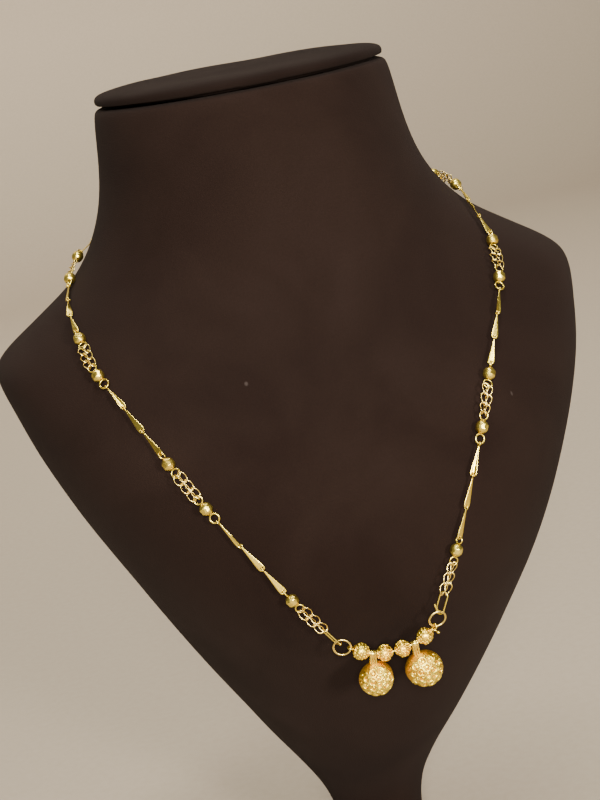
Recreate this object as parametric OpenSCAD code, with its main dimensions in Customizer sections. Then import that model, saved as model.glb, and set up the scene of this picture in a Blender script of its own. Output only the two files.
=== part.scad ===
// A mangalsutra: a double link chain with tapered bars and gold beads, two domed cups hanging
// at the front, shown on a padded neck bust. Millimetres. Z is up, the bust faces -Y, and the
// origin is the middle of the underside of the round foot.

/* [Bust] */
// height of the middle of the neck's flat top above the table
neck_height = 272; // [270:1:300]
// how far the flat top leans forward, in degrees
top_lean = 2.4; // [0:0.2:4]
// how far the neck stands behind the middle of the foot
neck_set_back = 20; // [16:1:24]
// thickness of the padded cap on the neck
cap_thickness = 4.8; // [4:0.2:8]

/* [Foot] */
// radius of the round foot
foot_radius = 44; // [42:1:60]
// thickness of the round foot
foot_thickness = 7; // [5:0.5:9]

/* [Chain] */
// distance of the chain's middle line from the bust
chain_standoff = 2.25; // [2.25:0.05:2.6]
// length of one tapered bar from hook to hook
bar_pitch = 8.8; // [8.7:0.02:8.86]
// diameter of a chain bead
bead_diameter = 3.7; // [3.5:0.05:3.75]
// width of a bar at its broad end
bar_width = 1.96; // [1.5:0.02:2.1]

/* [Pendants] */
// radius of the wire that carries the pendants
pendant_wire_radius = 0.28; // [0.26:0.01:0.3]
// height of a cup's dome above the back of its rim
cup_rise = 4.2; // [3.4:0.1:4.4]
// height of a cup's upright side, under its dome
cup_side = 1.6; // [1:0.1:2]

/* [Hidden] */
bust_sides = 48;

// the bust: drop below the neck top, half width, depth in front, depth behind, squareness
sections = [
    [0, 45, 41, 45, 2],
    [30, 50.2, 43, 43.6, 2],
    [48, 61.8, 46, 41.6, 2.1],
    [59.4, 78.4, 51.7, 39.1, 2.2],
    [66.8, 89.2, 57.2, 37.3, 2.3],
    [73, 90.8, 62.1, 36.1, 2.4],
    [80, 89, 68.5, 34.6, 2.5],
    [95, 84.6, 79, 32.3, 2.6],
    [115, 76.8, 83.5, 30, 2.6],
    [140, 65, 81.5, 28, 2.6],
    [170, 50.7, 64.5, 25.5, 2.5],
    [200, 35, 43.6, 21.8, 2.3],
    [235, 16.2, 15.8, 16.3, 2],
    [250, 14, 13.8, 14, 2],
    [neck_height - foot_thickness, 17, 17, 17, 2]
];

// where the chain lies: distance from the lowest bead, angle round the neck, drop
route_left = [
    [0, -108.3, 134],
    [35.4, -117.7, 104.4],
    [51.4, -121.6, 91.6],
    [84, -130.6, 70.4],
    [99.5, -141, 61.4],
    [130.6, -171.7, 49],
    [152, -199, 42],
    [180, -236, 36],
    [208, -270, 34]
];
route_right = [
    [0, -80.2, 131.1],
    [34.1, -73.3, 101.2],
    [51, -68.9, 88.4],
    [84.9, -56.7, 67.8],
    [99.2, -45.5, 59.6],
    [125.4, -20.2, 47],
    [152, 19, 40],
    [180, 57, 36],
    [208, 90, 34]
];

// the jump rings that join the chain to the pendants
ring_spot_left = [-17.3, -81.4, -151.6];
ring_spot_right = [9.8, -83.6, -149.5];

// the tables' distances and drops as one smooth row at any distance
function slope(t, i) =
    let (a = max(i - 1, 0), b = min(i + 1, len(t) - 1))
    (t[b] - t[a]) / (t[b][0] - t[a][0]);
function span(t, x, i = 0) = (i >= len(t) - 2 || x < t[i + 1][0]) ? i : span(t, x, i + 1);
function smooth_row(t, x) =
    let (i = span(t, x), h = t[i + 1][0] - t[i][0], u = (x - t[i][0]) / h)
    (2 * u * u * u - 3 * u * u + 1) * t[i]
    + (u * u * u - 2 * u * u + u) * h * slope(t, i)
    + (3 * u * u - 2 * u * u * u) * t[i + 1]
    + (u * u * u - u * u) * h * slope(t, i + 1);

function unit(v) = v / norm(v);
function curl(c, e) = sign(c) * pow(abs(c), e);
function outline_point(row, angle, inset) =
    let (e = 2 / row[4], c = cos(angle), s = sin(angle), depth = (s < 0) ? row[2] : row[3])
    [(row[1] - inset) * curl(c, e), (depth - inset) * curl(s, e) + neck_set_back];
function skin(angle, drop) =
    let (p = outline_point(smooth_row(sections, drop), angle, 0))
    [p[0], p[1], neck_height - drop];
function skin_normal(angle, drop) =
    unit(cross(skin(angle, drop + 0.25) - skin(angle, drop - 0.25),
               skin(angle + 0.5, drop) - skin(angle - 0.5, drop)));
function bust_spot(p) = p + [0, neck_set_back, neck_height];

// a chain path: its points as lookup tables, and the straight lead down to the jump ring
function chain_path(route, ring_spot) =
    let (rows = [for (t = [0 : 2 : route[len(route) - 1][0]]) smooth_row(route, t)],
         n = [for (r = rows) skin_normal(r[1], r[2])],
         p = [for (i = [0 : len(rows) - 1]) skin(rows[i][1], rows[i][2]) + chain_standoff * n[i]],
         last = len(p) - 1,
         d = [for (i = 0, s = 0; i <= last; s = s + norm(p[min(i + 1, last)] - p[i]), i = i + 1) s])
    [[for (k = [0 : 2]) [for (i = [0 : last]) [d[i], p[i][k]]]],
     [for (k = [0 : 2]) [for (i = [0 : last]) [d[i], n[i][k]]]],
     unit(p[0] - bust_spot(ring_spot))];
function path_point(path, s) =
    [for (k = [0 : 2]) lookup(s, path[0][k]) + min(s, 0) * path[2][k]];
function path_normal(path, s) = [for (k = [0 : 2]) lookup(s, path[1][k])];
left = chain_path(route_left, ring_spot_left);
right = chain_path(route_right, ring_spot_right);

// lengths along the chain
link_ring = 1.2;
link_ring_wire = 0.2;
link_ring_reach = 3.2;
bar_ring = 1.3;
bar_ring_wire = 0.25;
bar_ring_reach = 3.3;
bar_start = bar_ring_reach + bar_ring;
small_ring = 0.98;
small_ring_wire = 0.22;
small_ring_reach = 2.93;
hook_in = 0.405;
link_length = 3.6;
link_width = 2.2;
link_wire = 0.19;
link_roll = 56;
// link pairs between two beads, and in the taut run at the front
pair_pitch = 2.74;
pair_end = 1.9;
taut_pitch = 3;
taut_end = 2.2;
// a pair's links: half gap between them, height, yaw, pitch
pair_middle = [0.8, 0.15, 0, 0];
pair_at_ring = [0.66, 0.2, -6, 1.5];
pair_at_connector = [0.61, 0.02, -13.8, 10.2];
bars_run = bar_start + 3 * bar_pitch + hook_in + small_ring_reach;
pairs_run = 2 * (link_ring_reach + pair_end + pair_pitch);
bead_step = [bars_run, pairs_run];
// the beads' distances up the chain, from the lowest one
bead_at = [for (k = 0, s = 0; k < 8; s = s + bead_step[k % 2], k = k + 1) s];
bead_count = len(bead_at);
back_pairs = 11;
chain_end = bead_at[bead_count - 1] + link_ring_reach + 2 * pair_end + (back_pairs - 1) * pair_pitch;
connector_radius = 1.15;
connector_pair = 2;
connector_span = 4.1;
connector_wire = 0.21;
// how each side's connector is turned about its own length
connector_rolls = [-50, -56];
connector_at = -(link_ring_reach + taut_end + 2 * taut_pitch + connector_pair);
jump_ring_radius = 2.39;
jump_ring_wire = 0.29;
jump_ring_drop = 2.7;
jump_ring_at = connector_at - connector_span - jump_ring_drop;
// the right jump ring is turned about the chain's direction there
jump_ring_tilts = [0, 20];
bar_rolls = [[35, -10, -20], [-25, 15, 30], [20, -30, 12], [-15, 25, -35]];
eye_radius = 0.55;
eye_wire = 0.18;
bar_hole_back = 0.575;
bar_hole = 0.425;
bar_thickness = 0.4;
pin_wire = 0.17;
bead_bore = 0.36;
bead_end = 1.62;

// the pendant group: its own frame midway between the jump rings
ring_left = path_point(left, jump_ring_at);
ring_right = path_point(right, jump_ring_at);
group_mid = (ring_left + ring_right) / 2;
group_x = unit(ring_right - ring_left);
group_lean = 11;
group_z = -unit(cross(group_x, [0, sin(group_lean), -cos(group_lean)]));
group_y = cross(group_z, group_x);
half_gap = norm(ring_right - ring_left) / 2;
wire_mid = [1.2, 11.9];
wire_sweep = 18;
// the angle along the wire where its end eyes sit
eye_left_angle = -44.6;
eye_right_angle = 38.8;
wire_eye_radius = 0.7;
// beads on the pendant wire: angle along it, diameter
pendant_beads = [[-33.8, 5.1], [-12.4, 4.95], [4.2, 4.95], [26.8, 5.1]];
pendant_bead_bore = 0.6;
pendant_bead_end = 2.3;
// cups: angle of the bail along the wire, lean of the cup, wire to cup middle, radius
cups = [[-23.2, -5.5, 7.6, 5], [15.6, 7, 8.45, 5.35]];
// the cups hang straight down from the wire, which leans more
cup_swing = -12;
// the bail hangs on the wire, so its bore sits a little lower
bail_hang = 0.12;
bail_outer = 0.98;
bail_bore = 0.56;
bail_half = 0.85;
cup_wall = 0.6;
cup_rim = 0.75;
// how far the rim stands out from the side, and how deep its scallops are cut
cup_brim = 0.45;
scallop_depth = 0.35;
cup_set_back = 0.9;
scallops = 24;
scallop_radius = 0.55;
relief = 0.35;

gold = [0.83, 0.62, 0.25];
red_gold = [0.8, 0.5, 0.2];
velvet = [0.2, 0.13, 0.1];

// a closed body through a list of rings with the same number of points
module ring_body(rings) {
    n = len(rings[0]);
    m = len(rings);
    low = [for (i = [0 : n - 1]) i];
    high = [for (i = [n - 1 : -1 : 0]) (m - 1) * n + i];
    walls = [for (r = [0 : m - 2], i = [0 : n - 1], h = [0, 1])
        let (a = r * n + i, b = r * n + (i + 1) % n)
        (h == 0) ? [a, b + n, b] : [a, a + n, b + n]];
    polyhedron([for (r = rings, p = r) p], concat([low], walls, [high]), 10);
}

function bust_ring(drop, inset) =
    let (row = smooth_row(sections, drop))
    [for (i = [0 : bust_sides - 1])
        let (p = outline_point(row, i * 360 / bust_sides, inset))
        [p[0], p[1], neck_height - drop + lean(p[1], drop)]];

// how much the neck's top rises at a depth, less and less further down
lean_reach = 20;
function lean(y, drop) = (y - neck_set_back) * tan(top_lean) * max(0, 1 - drop / lean_reach);

module neck_bust() {
    foot_drop = neck_height - foot_thickness;
    drops = [foot_drop, foot_drop - 4, foot_drop - 10, 246, 235, 226, 217, 208, 198, 188, 178, 168,
        158, 148, 138, 129, 121, 113, 105, 98, 92, 86, 81, 77, 73.5, 70.5, 67.5, 64, 60, 55, 50, 44,
        38, 30, 21, 12, 5];
    color(velvet)
    ring_body(concat(
        [for (d = drops) bust_ring(d, 0)],
        [bust_ring(1.4, 0.1), bust_ring(0.5, 0.8), bust_ring(0, 2.4)]));
}

module neck_cap() {
    // height up the cap, inset of its edge
    edge = [[0, 2.6], [0.08, 1.5], [0.26, 0.8], [0.5, 0.6], [0.7, 1.1], [0.84, 2.6], [0.94, 6],
        [1, 14]];
    row = sections[0];
    color(velvet)
    ring_body([for (e = edge)
        [for (i = [0 : bust_sides - 1])
            let (p = outline_point(row, i * 360 / bust_sides, e[1]))
            [p[0], p[1], neck_height + e[0] * cap_thickness + lean(p[1], 0)]]]);
}

module stand_foot() {
    r = foot_thickness / 2;
    color(velvet)
    rotate_extrude($fn = 96)
    union() {
        square([foot_radius - r, foot_thickness]);
        intersection() {
            translate([foot_radius - r, r])
            circle(r, $fn = 24);
            square([foot_radius, foot_thickness]);
        }
    }
}

module torus(radius, wire) {
    rotate_extrude($fn = 40)
    translate([radius, 0])
    circle(wire, $fn = 14);
}

module half_torus(radius, wire) {
    rotate_extrude(angle = 180, $fn = 32)
    translate([radius, 0])
    circle(wire, $fn = 14);
}

module rod(from, to, wire) {
    translate([from, 0, 0])
    rotate([0, 90, 0])
    cylinder(to - from, wire, wire, $fn = 14);
}

// an oval link lying along x, length and width measured along the wire's middle
module oval_link(length, width, wire) {
    straight = length - width;
    for (turn = [0, 180])
        rotate([0, 0, turn]) {
            translate([straight / 2, 0, 0])
            rotate([0, 0, -90])
            half_torus(width / 2, wire);
            translate([0, width / 2, 0])
            rod(-straight / 2, straight / 2, wire);
        }
}

// x along the chain from one distance to the other, z away from the bust
module along(path, from, to) {
    a = path_point(path, from);
    b = path_point(path, to);
    x = unit(b - a);
    y = unit(cross(path_normal(path, (from + to) / 2), x));
    z = cross(x, y);
    multmatrix([
        [x[0], y[0], z[0], a[0]],
        [x[1], y[1], z[1], a[1]],
        [x[2], y[2], z[2], a[2]],
        [0, 0, 0, 1]])
    children();
}

function pin_low(k) = (k % 2 == 0) ? link_ring_reach : bar_start;
function pin_high(k) = (k % 2 == 0) ? small_ring_reach : link_ring_reach;

// x from the bead towards the clasp, with the bead's middle at zero
module at_bead(path, k) {
    along(path, bead_at[k] - pin_low(k), bead_at[k] + pin_high(k))
    translate([pin_low(k), 0, 0])
    children();
}

module chain_bead(path, k) {
    r = bead_diameter / 2;
    color(gold)
    at_bead(path, k)
    rotate([0, 90, 0])
    difference() {
        rotate_extrude($fn = 32)
        polygon([[0, -bead_end], [0.36 * r, -bead_end], [0.78 * r, -0.68 * r], [0.97 * r, -0.26 * r],
            [0.93 * r, 0], [0.97 * r, 0.26 * r], [0.78 * r, 0.68 * r], [0.36 * r, bead_end],
            [0, bead_end]]);
        cylinder(3 * r, bead_bore, bead_bore, center = true, $fn = 20);
    }
}

module eye_pin(path, k) {
    low_ring = (k % 2 == 0) ? link_ring : bar_ring;
    low_wire = (k % 2 == 0) ? link_ring_wire : bar_ring_wire;
    low_reach = (k % 2 == 0) ? link_ring_reach : bar_ring_reach;
    high_ring = (k % 2 == 0) ? small_ring : link_ring;
    at_bead(path, k) {
        rod(low_ring - low_reach, pin_high(k) - high_ring, pin_wire);
        translate([-low_reach, 0, 0])
        torus(low_ring, low_wire);
        if (k % 2 == 1)
            translate([link_ring_reach, 0, 0])
            torus(link_ring, link_ring_wire);
    }
    // the small ring stands square to the plate of the bar that hangs in it
    if (k % 2 == 0)
        along(path, bead_at[k] + small_ring_reach + hook_in + bar_pitch, bead_at[k] + small_ring_reach)
        translate([bar_pitch + hook_in, 0, 0])
        rotate([bar_rolls[k / 2][2] + 90, 0, 0])
        torus(small_ring, small_ring_wire);
}

module eye_pins(path) {
    color(gold)
    for (k = [0 : bead_count - 1])
        eye_pin(path, k);
}

// one tapered bar from its eye at zero, its broad drilled end towards +x
module bar_plate(roll) {
    w = bar_width / 2;
    l = bar_pitch + 0.15;
    rotate([roll, 0, 0])
    difference() {
        linear_extrude(bar_thickness, center = true)
        polygon([[0.45, -0.22], [0.2 * l, -0.3], [0.82 * l, -w], [0.94 * l, -w], [l, -0.66 * w],
            [l, 0.66 * w], [0.94 * l, w], [0.82 * l, w], [0.2 * l, 0.3], [0.45, 0.22]]);
        translate([bar_pitch - bar_hole_back, 0, 0])
        cylinder(2, bar_hole, bar_hole, center = true, $fn = 20);
    }
}

// three bars from the bead above, hooked one in the other, down to the bead below
module bars(path, run) {
    rolls = bar_rolls[run - 1];
    top = bead_at[2 * run - 1] - bar_start;
    color(gold) {
        for (i = [0 : 2])
            along(path, top - i * bar_pitch, top - (i + 1) * bar_pitch - ((i == 2) ? hook_in : 0))
            bar_plate(rolls[i]);
        // each eye stands square to the ring or plate that it hooks
        at_bead(path, 2 * run - 1)
        translate([-bar_start, 0, 0])
        rotate([90, 0, 0])
        torus(eye_radius, eye_wire);
        for (i = [0, 1])
            along(path, top - i * bar_pitch, top - (i + 1) * bar_pitch)
            translate([bar_pitch, 0, 0])
            rotate([rolls[i] + 90, 0, 0])
            torus(eye_radius, eye_wire);
    }
}

// two oval links side by side, each turned about its own length; end is 1 or -1 beside a ring
module pair_of_links(stance, roll, end) {
    for (turn = [0, 180])
        rotate([turn, 0, 0])
        translate([0, -stance[0], -stance[1]])
        rotate([0, end * stance[3], end * stance[2]])
        rotate([roll, 0, 0])
        oval_link(link_length, link_width, link_wire);
}

// the link pairs from one ring's middle to the next ring's, with the first one's own spacing
module link_run(path, start, count, first_gap, pitch, first_stance) {
    for (i = [0 : count - 1]) {
        at = start + first_gap + i * pitch;
        roll = (i % 2 == 0) ? link_roll : -link_roll;
        along(path, at, at + 0.5)
        if (i == 0)
            pair_of_links(first_stance, roll, 1);
        else if (i == count - 1)
            pair_of_links(pair_at_ring, roll, -1);
        else
            pair_of_links(pair_middle, roll, 0);
    }
}

module links(path, run) {
    color(gold)
    if (run == 1)
        link_run(path, connector_at, 3, connector_pair, taut_pitch, pair_at_connector);
    else if (run == 5) {
        link_run(path, bead_at[bead_count - 1] + link_ring_reach, back_pairs, pair_end, pair_pitch,
            pair_at_ring);
        along(path, chain_end, chain_end + 0.5)
        torus(link_ring, link_ring_wire);
    } else
        link_run(path, bead_at[2 * run - 3] + link_ring_reach, 3, pair_end, pair_pitch, pair_at_ring);
}

module connector(path, roll) {
    color(gold)
    along(path, connector_at - connector_span, connector_at)
    translate([connector_span / 2, 0, 0])
    rotate([roll, 0, 0])
    oval_link(connector_span + 2 * connector_radius, 2 * connector_radius, connector_wire);
}

// x along the jump rings' line, y up the front, z towards the viewer
module in_group() {
    multmatrix([
        [group_x[0], group_y[0], group_z[0], group_mid[0]],
        [group_x[1], group_y[1], group_z[1], group_mid[1]],
        [group_x[2], group_y[2], group_z[2], group_mid[2]],
        [0, 0, 0, 1]])
    children();
}

// a jump ring's own frame, -1 for the left ring and 1 for the right
module at_jump_ring(side) {
    lead = (side < 0) ? left[2] : right[2];
    tilt = (side < 0) ? jump_ring_tilts[0] : jump_ring_tilts[1];
    translate([side * half_gap, 0, 0])
    rotate(a = tilt, v = [lead * group_x, lead * group_y, 0])
    children();
}

module jump_ring(side) {
    color(gold)
    in_group()
    at_jump_ring(side)
    torus(jump_ring_radius, jump_ring_wire);
}

function wire_point(angle) = wire_mid + wire_sweep * [sin(angle), -cos(angle)];

// x along the wire, at an angle along it
module on_wire(angle) {
    p = wire_point(angle);
    in_group()
    translate([p[0], p[1], 0])
    rotate([0, 0, angle])
    children();
}

module wire_eye(side, angle) {
    p = wire_point(angle);
    toward = atan2(p[1], p[0] - side * half_gap);
    at_jump_ring(side)
    rotate([0, 0, toward])
    translate([jump_ring_radius, 0, 0])
    rotate([90, 0, 0])
    torus(wire_eye_radius, pendant_wire_radius);
}

module pendant_wire() {
    // the bow ends on the eyes' own wire, a little inside their middles
    eye_share = 2.45;
    color(gold)
    in_group() {
        translate([wire_mid[0], wire_mid[1], 0])
        rotate([0, 0, eye_left_angle - 90 + eye_share])
        rotate_extrude(angle = eye_right_angle - eye_left_angle - 2 * eye_share, $fn = 160)
        translate([wire_sweep, 0])
        circle(pendant_wire_radius, $fn = 14);
        wire_eye(-1, eye_left_angle);
        wire_eye(1, eye_right_angle);
    }
}

// a ribbed bead, drilled for the wire, its ends cut flat
module filigree_bead(k) {
    r = pendant_beads[k - 1][1] / 2;
    steps = 16;
    end_angle = asin(pendant_bead_end / r);
    profile = [for (i = [0 : steps])
        let (a = -end_angle + i * 2 * end_angle / steps, q = r * ((i % 2 == 0) ? 0.955 : 1))
        [q * cos(a), q * sin(a)]];
    color(red_gold)
    on_wire(pendant_beads[k - 1][0])
    rotate([0, 90, 0])
    difference() {
        rotate_extrude($fn = 36)
        polygon(concat([[0, profile[0][1]]], profile, [[0, profile[steps][1]]]));
        cylinder(3 * r, pendant_bead_bore, pendant_bead_bore, center = true, $fn = 20);
    }
}

// radius of the ball whose cap has a given foot radius and rise
function dome_ball(base, rise) = (base * base + rise * rise) / (2 * rise);

// a round body with an upright side and a domed top
module domed_can(base, side, rise) {
    ball = dome_ball(base, rise - side);
    intersection() {
        translate([0, 0, rise - ball])
        sphere(ball, $fn = 64);
        cylinder(r = base, h = 2 * rise, $fn = 64);
    }
}

// a hollow cup, its dome towards +z, its scalloped rim at z = 0, its bail up towards +y
module vati(k) {
    bail_to_mid = cups[k - 1][2];
    cup_radius = cups[k - 1][3];
    side_radius = cup_radius - cup_brim;
    color(red_gold)
    on_wire(cups[k - 1][0])
    rotate([cup_swing, 0, 0]) {
        rotate([0, 0, cups[k - 1][1] - cups[k - 1][0]])
        translate([0, -bail_to_mid, -cup_set_back])
        difference() {
            union() {
                linear_extrude(cup_rim)
                union() {
                    circle(cup_radius - scallop_depth, $fn = 64);
                    for (i = [0 : scallops - 1])
                        rotate([0, 0, i * 360 / scallops])
                        translate([cup_radius - scallop_radius, 0])
                        circle(scallop_radius, $fn = 16);
                }
                domed_can(side_radius, cup_side, cup_rise);
                intersection() {
                    domed_can(side_radius, cup_side, cup_rise + relief);
                    linear_extrude(2 * cup_rise)
                    union() {
                        circle(0.8, $fn = 24);
                        for (i = [0 : 7])
                            rotate([0, 0, i * 45])
                            translate([1.55, 0])
                            circle(0.5, $fn = 16);
                    }
                }
            }
            translate([0, 0, -0.01])
            domed_can(side_radius - cup_wall, cup_side, cup_rise - cup_wall);
        }
        bail(bail_to_mid - cup_radius + 0.65);
    }
}

// a bail folded round the wire, its foot reaching down to the cup's rim
module bail(reach) {
    rotate([90, 0, 90])
    translate([-bail_hang, 0, -bail_half])
    linear_extrude(2 * bail_half)
    difference() {
        union() {
            circle(bail_outer, $fn = 32);
            polygon([[-reach, -0.75], [-reach, -0.3], [0, bail_outer], [0, -bail_outer]]);
        }
        circle(bail_bore, $fn = 24);
    }
}

// a plain hook between the chain's two end rings
module clasp_hook() {
    a = path_point(left, chain_end);
    b = path_point(right, chain_end);
    x = unit(b - a);
    y = unit(cross(path_normal(left, chain_end), x));
    z = cross(x, y);
    eye = 0.8;
    wire = 0.25;
    reach = norm(b - a) - link_ring;
    color(gold)
    multmatrix([
        [x[0], y[0], z[0], a[0]],
        [x[1], y[1], z[1], a[1]],
        [x[2], y[2], z[2], a[2]],
        [0, 0, 0, 1]]) {
        for (at = [link_ring, reach])
            translate([at, 0, 0])
            rotate([90, 0, 0])
            torus(eye, wire);
        rod(link_ring + eye, reach - eye, wire);
    }
}

neck_bust();
neck_cap();
stand_foot();
pendant_wire();
filigree_bead(1);  // filigree_bead_1
filigree_bead(2);  // filigree_bead_2
filigree_bead(3);  // filigree_bead_3
filigree_bead(4);  // filigree_bead_4
vati(1);  // vati_1
vati(2);  // vati_2
jump_ring(-1);  // jump_ring_left
jump_ring(1);  // jump_ring_right
connector(left, connector_rolls[0]);  // connector_left
connector(right, connector_rolls[1]);  // connector_right
clasp_hook();
eye_pins(left);  // eye_pins_left
eye_pins(right);  // eye_pins_right
chain_bead(left, 0);  // bead_left_1
chain_bead(left, 1);  // bead_left_2
chain_bead(left, 2);  // bead_left_3
chain_bead(left, 3);  // bead_left_4
chain_bead(left, 4);  // bead_left_5
chain_bead(left, 5);  // bead_left_6
chain_bead(left, 6);  // bead_left_7
chain_bead(left, 7);  // bead_left_8
chain_bead(right, 0);  // bead_right_1
chain_bead(right, 1);  // bead_right_2
chain_bead(right, 2);  // bead_right_3
chain_bead(right, 3);  // bead_right_4
chain_bead(right, 4);  // bead_right_5
chain_bead(right, 5);  // bead_right_6
chain_bead(right, 6);  // bead_right_7
chain_bead(right, 7);  // bead_right_8
bars(left, 1);  // bars_left_1
bars(left, 2);  // bars_left_2
bars(left, 3);  // bars_left_3
bars(left, 4);  // bars_left_4
bars(right, 1);  // bars_right_1
bars(right, 2);  // bars_right_2
bars(right, 3);  // bars_right_3
bars(right, 4);  // bars_right_4
links(left, 1);  // links_left_1
links(left, 2);  // links_left_2
links(left, 3);  // links_left_3
links(left, 4);  // links_left_4
links(left, 5);  // links_left_5
links(right, 1);  // links_right_1
links(right, 2);  // links_right_2
links(right, 3);  // links_right_3
links(right, 4);  // links_right_4
links(right, 5);  // links_right_5
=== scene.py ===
import math
import random

import bpy
import bmesh
import numpy as np
from mathutils import Matrix, Vector


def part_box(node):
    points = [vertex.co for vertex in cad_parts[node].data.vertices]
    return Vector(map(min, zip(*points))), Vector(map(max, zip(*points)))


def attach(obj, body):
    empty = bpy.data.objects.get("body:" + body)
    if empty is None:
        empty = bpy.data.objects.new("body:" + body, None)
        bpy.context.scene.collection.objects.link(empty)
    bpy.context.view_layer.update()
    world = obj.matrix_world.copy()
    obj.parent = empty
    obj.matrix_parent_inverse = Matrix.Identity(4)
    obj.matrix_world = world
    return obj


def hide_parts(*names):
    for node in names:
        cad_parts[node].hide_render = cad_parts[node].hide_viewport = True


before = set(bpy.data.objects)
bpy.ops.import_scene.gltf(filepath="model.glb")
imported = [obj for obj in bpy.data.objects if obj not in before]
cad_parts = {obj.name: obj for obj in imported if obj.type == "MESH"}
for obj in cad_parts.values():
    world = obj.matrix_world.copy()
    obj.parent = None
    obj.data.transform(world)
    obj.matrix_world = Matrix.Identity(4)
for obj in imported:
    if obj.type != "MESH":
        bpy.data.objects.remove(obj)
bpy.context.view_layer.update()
MM = 0.001
SIDES = ("left", "right")

# Sizes are in millimetres and angles in degrees, unless a comment says otherwise
# The stand
NECK_BACK = 20  # how far the neck stands behind the middle of the foot
NECK_TOP = 272  # height of the middle of the neck's flat top
TOP_LEAN = 2.4  # how far that top leans forward
CAP_EDGE = 1.05  # height of the cap's under edge over the neck's top

# The chain
BEAD_RADIUS = 1.86
BEAD_END = 1.62  # from a bead's middle to its flat ends
BAR_START, BAR_END = 0.45, 8.95  # the strip of a bar, from the middle of its eye
BAR_WALL = 0.3
BAR_ROWS = 30
# share of the length, half width
BAR_OUTLINE = ((0.0, 0.22), (0.1, 0.28), (0.8, 0.98), (0.94, 0.98), (1.0, 0.66))
HOLE_AT = 8.225  # middle of the hole in a bar's broad end
LINK_HALF = 1.0
LINK_REACH = 1.62
LINK_WIRE = 0.165
LINK_STRAIGHT = 0.12  # half of a link's straight stretch
LINK_TWIST = 30
LINK_APART = {"left": 0.72, "right": 0.9}  # from a pair's middle line to either link

# The pendants
WIRE_BOW = 18  # radius of the pendant wire's bow
BOW_MIDDLE = (1.2, 11.9)
WIRE_LEAN = 11
CURLS = 7  # wire rings round a filigree bead
FILIGREE = ((1, -33.8, 5.1, False), (2, -12.4, 4.95, True), (3, 4.2, 4.95, True), (4, 26.8, 5.1, False))
CUP_BRIM = 0.45
CUP_SIDE = 1.6  # height of a cup's upright side, under its dome
CUP_RISE = 4.2
CUP_WALL = 0.6
CUP_SWING = -12  # the cups hang straight down from the wire, which leans more
CUP_SET_BACK = 0.9
DOME_EDGE = CUP_SIDE + 0.35  # height at which the dome's ball ends
TIP = 6  # how far the relief leans to one side
BAIL_HANG = 0.12  # how much lower than the wire a bail's middle sits
BAIL_RIDGES = ((0.57, -0.92), (0.85, -0.95), (0.97, -0.86), (1.0, -0.7), (0.9, -0.5), (0.98, -0.35), (1.0, 0),
               (0.98, 0.35), (0.9, 0.5), (1.0, 0.7), (0.97, 0.86), (0.85, 0.95), (0.57, 0.92), (0.57, -0.92))

# Golds: name, bright and tarnished colour, roughness, size and depth of the dents, share of tarnish
GOLDS = (
    ("polished_yellow_gold", (1.0, 0.79, 0.14), (0.70, 0.42, 0.05), 0.21, 1400.0, 0.12, 0.5),
    ("cut_bead_gold", (1.0, 0.80, 0.15), (0.84, 0.52, 0.06), 0.23, 1400.0, 0.12, 0.6),
    ("pale_link_gold", (1.0, 0.77, 0.22), (0.66, 0.40, 0.08), 0.22, 1600.0, 0.1, 0.5),
    ("granulated_orange_gold", (1.0, 0.75, 0.08), (0.88, 0.44, 0.03), 0.31, 1300.0, 0.2, 0.8),
    # The cups' shells: the band's orange tone, and a darker gold that paints shade in the grooves between the
    # relief's pieces
    ("smooth_band_gold", (0.85, 0.48, 0.025), (0.6, 0.28, 0.01), 0.4, 900.0, 0.2, 0.85),
    ("worked_relief_gold", (1.0, 0.79, 0.09), (0.76, 0.43, 0.03), 0.32, 900.0, 0.15, 0.9),
)


# Camera, lights and stage
def photo_camera():
    """A camera set until the bust's outline lay on the photograph's."""
    turn, rise, roll = math.radians(-10.72), math.radians(13.38), math.radians(11.01)
    back = Vector((math.sin(turn) * math.cos(rise), -math.cos(turn) * math.cos(rise), math.sin(rise)))
    aim = Vector((-0.42, 20, 171.11)) * MM
    level = (-back).cross(Vector((0, 0, 1))).normalized()
    upright = level.cross(-back)
    across = level * math.cos(roll) - upright * math.sin(roll)
    up = level * math.sin(roll) + upright * math.cos(roll)
    bpy.ops.object.camera_add()
    camera = bpy.context.object
    camera.name = "photo_camera"
    turned = Matrix((across, up, back)).transposed().to_4x4()
    camera.matrix_world = Matrix.Translation(aim + back * 478.01 * MM) @ turned
    camera.data.lens = 67.5
    camera.data.sensor_width = 36
    camera.data.clip_start = 0.02
    camera.data.clip_end = 20
    bpy.context.scene.camera = camera


def soft_light(name, place, aim, size, power, colour=(1, 1, 1)):
    bpy.ops.object.light_add(type="AREA", location=place)
    light = bpy.context.object
    light.name = name
    light.data.shape = "RECTANGLE"
    light.data.size, light.data.size_y = size
    light.data.energy = power
    light.data.color = colour
    light.rotation_mode = "QUATERNION"
    light.rotation_quaternion = (Vector(aim) - Vector(place)).to_track_quat("-Z", "Y")


def set_lights():
    world = bpy.data.worlds.new("studio_air")
    bpy.context.scene.world = world
    world.use_nodes = True
    air = world.node_tree.nodes["Background"]
    air.inputs["Color"].default_value = (1.0, 0.95, 0.88, 1)
    air.inputs["Strength"].default_value = 0.16
    soft_light("key_window", (-0.22, -1.15, 0.6), (0, 0, 0.15), (0.22, 0.22), 27, (1.0, 0.96, 0.9))
    soft_light("front_fill", (0.3, -1.1, 0.4), (0, 0, 0.15), (0.15, 0.22), 13, (1.0, 0.95, 0.88))
    soft_light("top_strip", (0.1, -0.15, 1.1), (0, -0.02, 0.2), (0.5, 0.12), 7, (1.0, 0.96, 0.9))
    soft_light("wall_wash", (-0.2, 0.75, 1.5), (0.1, 1.9, 0.35), (1.8, 0.5), 34, (1.0, 0.94, 0.85))


# Small tools
def start_clean():
    if bpy.context.object and bpy.context.object.mode != "OBJECT":
        bpy.ops.object.mode_set(mode="OBJECT")
    bpy.ops.object.select_all(action="DESELECT")


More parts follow.
